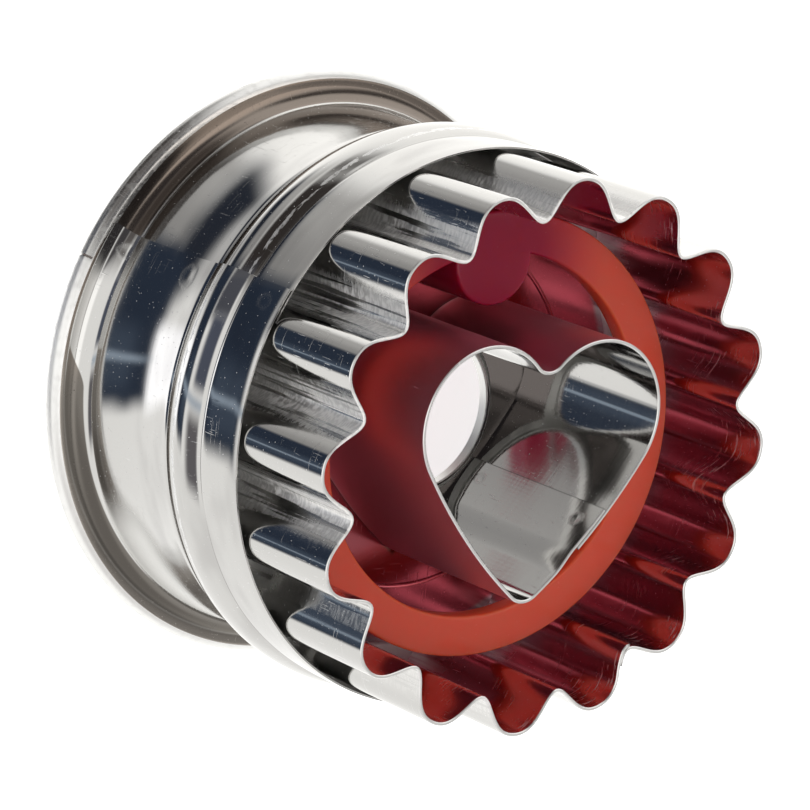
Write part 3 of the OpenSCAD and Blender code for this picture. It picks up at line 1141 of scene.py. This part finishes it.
@dataclass
class HeartCutter:
    """The heart-shaped cutting wall with its lap on the right flank."""

    lobe_r: float = 7.1
    lobe: Spot = (6.2, 3.5)
    tip_y: float = 12.8
    tip_r: float = 2.2
    flank_r: float = 52.0
    notch_r: float = 1.6
    middle_x: float = -1.3
    wall: float = 0.35
    inner_end: Spot = (8.62, -5.18)
    outer_end: Spot = (5.79, -8.53)
    pitch: float = 0.12
    lap_step: float = 0.33
    lap_ease: Pair = (0.2, 3.2)
    wobble: float = 0.008

    def half(self, inset: float) -> np.ndarray:
        """Draw the right half of the outline.

        Args:
            inset: Distance by which it is set in.

        Returns:
            Points from the notch to the tip.
        """
        cx, cy = self.lobe
        top = cy + math.sqrt((self.lobe_r + self.notch_r) ** 2 - cx**2)
        first = math.degrees(math.atan2(top - cy, -cx))
        tip = np.array([0.0, self.tip_r - self.tip_y])
        span = np.asarray(self.lobe) - tip
        length = float(np.hypot(*span))
        to_tip, to_lobe = self.flank_r - self.tip_r, self.flank_r - self.lobe_r
        foot = (to_tip**2 - to_lobe**2 + length**2) / 2 / length
        way = span / length
        centre = tip + foot * way + math.sqrt(to_tip**2 - foot**2) * np.array([-way[1], way[0]])
        high = math.degrees(math.atan2(cy - centre[1], cx - centre[0]))
        low = math.degrees(math.atan2(tip[1] - centre[1], tip[0] - centre[0]))
        return np.concatenate(
            [
                arc((0, top), self.notch_r + inset, -90, first - 180, 16)[:-1],
                arc(self.lobe, self.lobe_r - inset, first, high, 60)[:-1],
                arc(centre, self.flank_r - inset, high, low, 40)[:-1],
                arc(tip, self.tip_r - inset, low, -90, 16),
            ]
        )

    def path(self) -> np.ndarray:
        """Lay the strip round the outline, its inner end set in under its outer end.

        Returns:
            Points along the strip's middle, from its outer end round to its inner end, anticlockwise.
        """
        right = self.half(self.wall / 2)
        left = right[::-1] * np.array([-1, 1])
        loop = even(np.concatenate([right, left[1:-1], right[:1]]), self.pitch)
        start = int(np.argmin(np.linalg.norm(loop - self.inner_end, axis=1)))
        loop = np.concatenate([loop[start:-1], loop[:start]])
        end = int(np.argmin(np.linalg.norm(loop - self.outer_end, axis=1)))
        path = np.concatenate([loop, loop[: end + 1]])
        way = unit(np.gradient(path, axis=0))
        inward = np.stack([way[:, 1], -way[:, 0]], 1)
        run, lap = np.arange(len(path)) * self.pitch, end * self.pitch
        lapped = (1 - smooth(run, lap + self.lap_ease[0], lap + self.lap_ease[1])) * self.lap_step
        path = path + inward * lapped[:, None]
        return path[::-1] + np.array([self.middle_x, 0.0])

    def build(self, finish: Material) -> None:
        """Make the heart and dress it in its finish."""
        WallStrip("heart_wall", self.path(), wobble=self.wobble).build(finish, "heart_cutter")


@dataclass
class BridgePlate:
    """The plate between band and cutting walls, with the rolled lip of its middle hole."""

    top: float = 19.4
    underside: float = 18.99
    hole_r: float = 7.2
    lip_top: float = 20.08
    lip_half: float = 0.2
    lip_foot: float = 0.1
    root_r: float = 0.6
    root_at: Spot = (1.0, 0.62)
    lip_finish: Tinplate = Tinplate("lip_tinplate", tint=(0.82, 0.815, 0.80), roughness=0.4, scratch=0.3)

    def build(self, finish: Material) -> None:
        """Dress the plate and add the rolled lip of its hole.

        Args:
            finish: The plate's material.
        """
        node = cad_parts["bridge_plate"]
        node.data.materials.clear()
        node.data.materials.append(finish)
        hole, half = self.hole_r, self.lip_half
        root = (hole + self.root_at[0], self.top + self.root_at[1])
        section = np.concatenate(
            [
                arc((hole + half, self.lip_top - half), half, 0, 180, 12),
                [[hole, self.underside], [hole + self.lip_foot, self.underside]],
                arc(root, self.root_r, 265, 185, 8)[::-1],
            ]
        )
        dress(turned("hole_lip", section, count=160), self.lip_finish.build(), "cutter", Slot.PLATE)


@dataclass
class Ejector:
    """The red ring with its boss, the stem and the button behind the plate."""

    face_z: float = 29.0
    inner_r: float = 16.48
    outer_r: float = 20.15
    thickness: float = 2.0
    edge_r: float = 0.28
    boss: Spot = POST
    boss_r: float = 4.0
    boss_foot: float = 19.5
    boss_edge_r: float = 0.25
    boss_root: float = 0.01
    leaned_h: float = 1.0
    stem_r: float = 2.5
    stem_foot: float = 2.32
    stem_edge_r: float = 0.2
    axis_gap: float = 0.02
    button_r: float = 3.65
    button_z: float = 1.3
    button_h: float = 3.0
    button_roof: float = 1.05
    button_edges: Pair = (0.5, 0.35)
    dish: float = 0.3
    dish_rim: float = 0.7
    lean: float = 3.3
    lean_turn: float = 156.0
    rim_fade: Span = (0.7, 0.1)
    rim_depth: float = 2.1
    sharp: float = 35.0

    def leaned(self) -> Matrix:
        """Lean about the middle of the ring's face.

        Returns:
            The turn, with the lift to the height of the face.
        """
        return (
            Matrix.Translation((0, 0, self.face_z * MM))
            @ Matrix.Rotation(math.radians(self.lean_turn), 4, "Z")
            @ Matrix.Rotation(math.radians(self.lean), 4, "Y")
        )

    def ring(self) -> Piece:
        """Make the ring with rounded edges, leaned.

        Returns:
            The ring's object.
        """
        r = self.edge_r
        a, b, low = self.inner_r, self.outer_r, -self.thickness
        section = np.concatenate(
            [
                arc((b - r, low + r), r, -90, 0, 4),
                arc((b - r, -r), r, 0, 90, 5),
                arc((a + r, -r), r, 90, 180, 5),
                arc((a + r, low + r), r, 180, 270, 4),
            ]
        )
        made = turned("ejector_ring", section, count=224)
        made.data.transform(self.leaned())
        return made

    def post(self) -> Piece:
        """Make the boss under the ring's face, its top leaned as the ring, and the stem below it.

        Returns:
            The object of both.
        """
        r, s = self.boss_edge_r, self.stem_edge_r
        section = np.concatenate(
            [
                arc((self.stem_r - s, self.stem_foot + s), s, -90, 0, 3),
                [[self.stem_r, self.boss_foot + self.boss_root]],
                arc((self.boss_r - r, self.boss_foot + r), r, -90, 0, 4),
                arc((self.boss_r - r, self.face_z - r), r, 0, 90, 5),
                [[self.axis_gap, self.face_z], [self.axis_gap, self.stem_foot]],
            ]
        )
        made = turned("boss_and_stem", section, self.boss, 96)
        lift = self.leaned()
        top, normal = lift @ Vector((0, 0, 0)), lift.to_3x3() @ Vector((0, 0, 1))
        for v in made.data.vertices:
            if v.co.z > (self.face_z - self.leaned_h) * MM:
                level = v.co.z - self.face_z * MM
                v.co.z = top.z - (normal.x * v.co.x + normal.y * v.co.y) / normal.z + level
        return made

    def button(self) -> Piece:
        """Make the push button with its shallow dished face.

        Returns:
            The button's object.
        """
        z, r, gap = self.button_z, self.button_r, self.axis_gap
        low, high = self.button_edges
        hollow = z + gap + self.dish * (1 - np.linspace(0, 1, 8) ** 2)
        top, roof, socket = z + self.button_h, z + self.button_roof, self.stem_r + gap
        section = np.concatenate(
            [
                np.stack([np.linspace(gap, r - self.dish_rim, 8), hollow], 1),
                arc((r - low, z + low), low, -90, 0, 6),
                arc((r - high, top - high), high, 0, 90, 5),
                [[socket, top], [socket, roof], [gap, roof]],
            ]
        )
        return turned("push_button_cap", section, self.boss, 128)

    def build(self, finish: Material) -> None:
        """Make the red pieces, the ring and its post as one moulding.

        Args:
            finish: Their material.
        """
        ring, post = self.ring(), self.post()
        weld = ring.modifiers.new("weld", "BOOLEAN")
        weld.operation, weld.solver, weld.object = "UNION", "EXACT", post
        bpy.context.view_layer.update()
        joined = ring.evaluated_get(bpy.context.evaluated_depsgraph_get())
        mesh = bpy.data.meshes.new_from_object(joined)
        ring.modifiers.clear()
        ring.data = mesh
        bpy.data.objects.remove(post)
        mesh.shade_smooth()
        mesh.set_sharp_from_angle(angle=math.radians(self.sharp))
        self.mark_rim(ring)
        dress(ring, finish, "ejector", Slot.PLASTIC, "ejector")
        dress(self.button(), finish, "ejector", Slot.PLASTIC, "push_button")

    def mark_rim(self, made: Piece) -> None:
        """Write how near each corner lies to the ring's thin edges.

        Args:
            made: The ring, which is leaned already.
        """
        back = self.leaned().inverted()
        points = np.array([back @ v.co for v in made.data.vertices]) / MM
        radius = np.hypot(points[:, 0], points[:, 1])
        near = np.minimum(abs(radius - self.outer_r), abs(radius - self.inner_r))
        write_values(made, "rim", smooth(near, *self.rim_fade) * (points[:, 2] > -self.rim_depth))


@dataclass
class ReturnSpring:
    """The coil spring between the button and the plate."""

    place: Spot = POST
    coil_r: float = 2.925
    wire: float = 0.45
    foot: float = 4.35
    head: float = 18.95
    travel: float = 9.5
    turns: int = 5
    turn_steps: int = 36
    sides: int = 12
    uv_pace: Pair = (0.6, 0.3)
    sharp: float = 50.0

    def route(self) -> np.ndarray:
        """Wind the coil.

        Returns:
            Points along the wire's middle, with an upright end below and above.
        """
        rings = self.turns * self.turn_steps
        a = np.linspace(0, 2 * np.pi * self.turns, rings + 1)
        z = self.foot + self.wire + (self.head - self.foot - 2 * self.wire) * np.linspace(0, 1, rings + 1)
        coil = np.stack([self.coil_r * np.cos(a), self.coil_r * np.sin(a), z], 1)
        return np.concatenate([[[self.coil_r, 0, self.foot]], coil, [[self.coil_r, 0, self.head]]])

    def build(self, finish: Material) -> None:
        """Sweep the wire along the coil and dress it in its finish.

        Args:
            finish: The wire's material.
        """
        route, sides = self.route(), self.sides
        way = unit(np.gradient(route, axis=0))
        way[[0, -1]] = (0, 0, 1)
        out = route * (1, 1, 0)
        u = unit(out - way * np.sum(out * way, 1, keepdims=True))
        v = np.cross(way, u)
        t = np.linspace(0, 2 * np.pi, sides, endpoint=False)
        wheel = u[:, None] * np.cos(t)[None, :, None] + v[:, None] * np.sin(t)[None, :, None]
        grid = route[:, None] + wheel * (self.wire / 2)
        grid[..., :2] += np.asarray(self.place)
        faces = grid_faces(len(route), sides, round_cols=True)[:, [0, 3, 2, 1]].tolist()
        last = (len(route) - 1) * sides
        faces += [list(range(sides))[::-1], [last + s for s in range(sides)]]
        run = np.broadcast_to(np.arange(len(route))[:, None] * self.uv_pace[0], (len(route), sides))
        uv = np.stack([run, np.broadcast_to(t[None] * self.uv_pace[1], run.shape)], -1).reshape(-1, 2) * MM
        made = finish_mesh("spring_wire", grid.reshape(-1, 3) * MM, faces, uv, self.sharp)
        dress(made, finish, "cutter", Slot.SPRING, "return_spring")
        keep = (self.head - self.foot - self.travel) / (self.head - self.foot)
        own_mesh(made)


# ---------------------------------------------------------------- studio


@dataclass(frozen=True)
class Card:
    """A soft-edged light or dark panel round the object, by bearing and rise in degrees."""

    bearing: Span
    rise: Span
    colour: Colour
    soft: Pair

    def mask(self, g: Graph, turn: Wire, rise: Wire) -> Wire:
        """How much of the panel lies in a direction.

        Args:
            g: The world's graph.
            turn: Bearing of the direction.
            rise: Rise of the direction.

        Returns:
            0 outside the panel and 1 inside it.
        """
        masks = []
        for value, (low, high), soft in ((turn, self.bearing, self.soft[0]), (rise, self.rise, self.soft[1])):
            masks.append(g.between(value, (low - soft, low + soft), (high + soft, high - soft)))
        return masks[0] * masks[1]


@dataclass
class Studio:
    """Pale floor, soft surrounding light and the camera."""

    floor_half: float = 1.5
    floor_z: float = -0.00002
    floor_colour: Colour = (0.9, 0.9, 0.9)
    floor_rough: float = 0.9
    floor_glow: float = 0.75
    white: Colour = (1.0, 1.0, 1.0)
    room: Colour = (1.34, 1.33, 1.30)
    cards: tuple[Card, ...] = (
        # the bright floor round the right side
        Card((-30, 72), (-74, -4), (1.6, 1.58, 1.53), (12, 8)),
        Card((322, 400), (-74, -4), (1.6, 1.58, 1.53), (12, 8)),
        # high: a soft box overhead in front, a dark room behind
        Card((150, 262), (64, 95), (1.9, 1.88, 1.84), (14, 6)),
        Card((-30, 74), (53, 73), (1.75, 1.62, 1.50), (8, 4)),
        Card((292, 400), (38, 66), (0.42, 0.41, 0.40), (10, 6)),
        Card((5, 62), (32, 48), (0.08, 0.075, 0.075), (8, 3)),
        Card((74, 150), (42, 82), (0.085, 0.08, 0.085), (10, 6)),
        Card((90, 150), (4, 44), (0.16, 0.145, 0.14), (10, 8)),
        Card((214, 292), (12, 60), (0.8, 0.78, 0.76), (10, 8)),
        # level and below: black cloth to the left of the camera
        Card((95, 142), (-38, 6), (0.06, 0.052, 0.048), (6, 4)),
        Card((80, 96), (-38, -6), (0.28, 0.27, 0.26), (8, 4)),
        Card((137, 157), (-42, -8), (0.12, 0.125, 0.15), (5, 4)),
        # the window side, blue grey, with one thin bright gap
        Card((155, 181), (-34, -8), (0.125, 0.14, 0.19), (3, 5)),
        Card((190, 216), (-34, -8), (0.20, 0.19, 0.20), (5, 6)),
        # under the camera
        Card((84, 140), (-54, -41), (0.66, 0.65, 0.63), (10, 3)),
        Card((112, 140), (-56, -40), (0.47, 0.46, 0.45), (14, 3)),
        Card((76, 150), (-68, -54), (0.030, 0.036, 0.052), (13, 4)),
        Card((132, 207), (-56, -43.5), (0.034, 0.048, 0.078), (6, 2)),
        Card((132, 208), (-64, -51), (0.034, 0.048, 0.078), (6, 3)),
        Card((172, 200), (-55, -44), (0.075, 0.10, 0.145), (8, 4)),
        Card((85, 140), (-78, -70), (0.36, 0.35, 0.35), (14, 4)),
        Card((168, 213), (-78, -62), (2.05, 2.05, 2.08), (7, 2)),
        Card((184.5, 187.5), (-60, -6), (0.5, 0.6, 0.72), (2.5, 6)),
    )

    camera_at: Point = (-252.07, 88.8, 325.61)
    right: Point = (0.7847, 0.1075, 0.6105)
    up: Point = (0.0518, 0.97, -0.2373)
    lens: float = 201.54
    sensor: float = 36.0
    clip: Span = (0.01, 20.0)

    def camera(self) -> None:
        """Put the camera at the photograph's viewing angle."""
        data = bpy.data.cameras.new("camera")
        data.sensor_width, data.lens = self.sensor, self.lens
        data.clip_start, data.clip_end = self.clip
        made = bpy.data.objects.new("camera", data)
        right = Vector(self.right).normalized()
        up = Vector(self.up)
        up = (up - right * up.dot(right)).normalized()
        turn = Matrix((right, up, right.cross(up))).transposed()
        made.matrix_world = Matrix.Translation(Vector(self.camera_at) * MM) @ turn.to_4x4()
        bpy.context.scene.collection.objects.link(made)
        bpy.context.scene.camera = made

    def floor(self) -> None:
        """Lay the pale floor."""
        mesh = bpy.data.meshes.new("floor")
        half = self.floor_half
        corners = [(x * half, y * half, self.floor_z) for x, y in ((-1, -1), (1, -1), (1, 1), (-1, 1))]
        mesh.from_pydata(corners, [], [(0, 1, 2, 3)])
        made = bpy.data.objects.new("floor", mesh)
        bpy.context.scene.collection.objects.link(made)
        material, g = new_material("pale_floor")
        g.cover(
            {
                "Base Color": (*self.floor_colour, 1.0),
                "Roughness": self.floor_rough,
                "Specular IOR Level": 0.0,
                "Emission Color": (*self.white, 1.0),
                "Emission Strength": self.floor_glow,
            }
        )
        mesh.materials.append(material)
        made.visible_glossy = False

    def light(self) -> None:
        """Hang soft boxes and dark cloths round the object, which only its mirror surfaces show."""
        world = bpy.data.worlds.new("studio")
        world.use_nodes = True
        bpy.context.scene.world = world
        g = Graph(world.node_tree)
        way = g.apart(g.wire("ShaderNodeTexCoord", None, None, "Generated"))
        turn, rise = way.bearing(), way.twin(2).rise()
        seen: Wire | Colour = self.room
        for card in self.cards:
            seen = g.mix(card.mask(g, turn, rise), seen, card.colour)
        mirrored = g.wire("ShaderNodeLightPath", None, None, "Is Glossy Ray")
        glow = g.wire("ShaderNodeBackground", None, {"Color": g.mix(mirrored, self.white, seen), "Strength": 1.0})
        g.node("ShaderNodeOutputWorld", None, {0: glow})

    def build(self) -> None:
        """Set the view, the floor and the light."""
        self.camera()
        self.floor()
        self.light()
        view = bpy.context.scene.view_settings
        view.view_transform = "Standard"
        view.look = "None"


def main() -> None:
    """Build every piece of the cutter and its studio."""
    logging.basicConfig(level=logging.INFO, format="%(name)s: %(message)s")
    Studio().build()
    HandleBand().build(BandTin("band_tinplate", welds=BAND_WELDS).build())
    FlutedRing().build(FlutedTin("fluted_tinplate", scratch=1.0).build())
    HeartCutter().build(WallTin("heart_tinplate", scratch=1.0, haze=0.34, welds=HEART_WELDS).build())
    BridgePlate().build(PlateTin("plate_tinplate").build())
    Ejector().build(RedPlastic("red_plastic").build())
    ReturnSpring().build(Tinplate("spring_wire_finish", roughness=0.2).build())


if __name__ == "__main__":
    main()
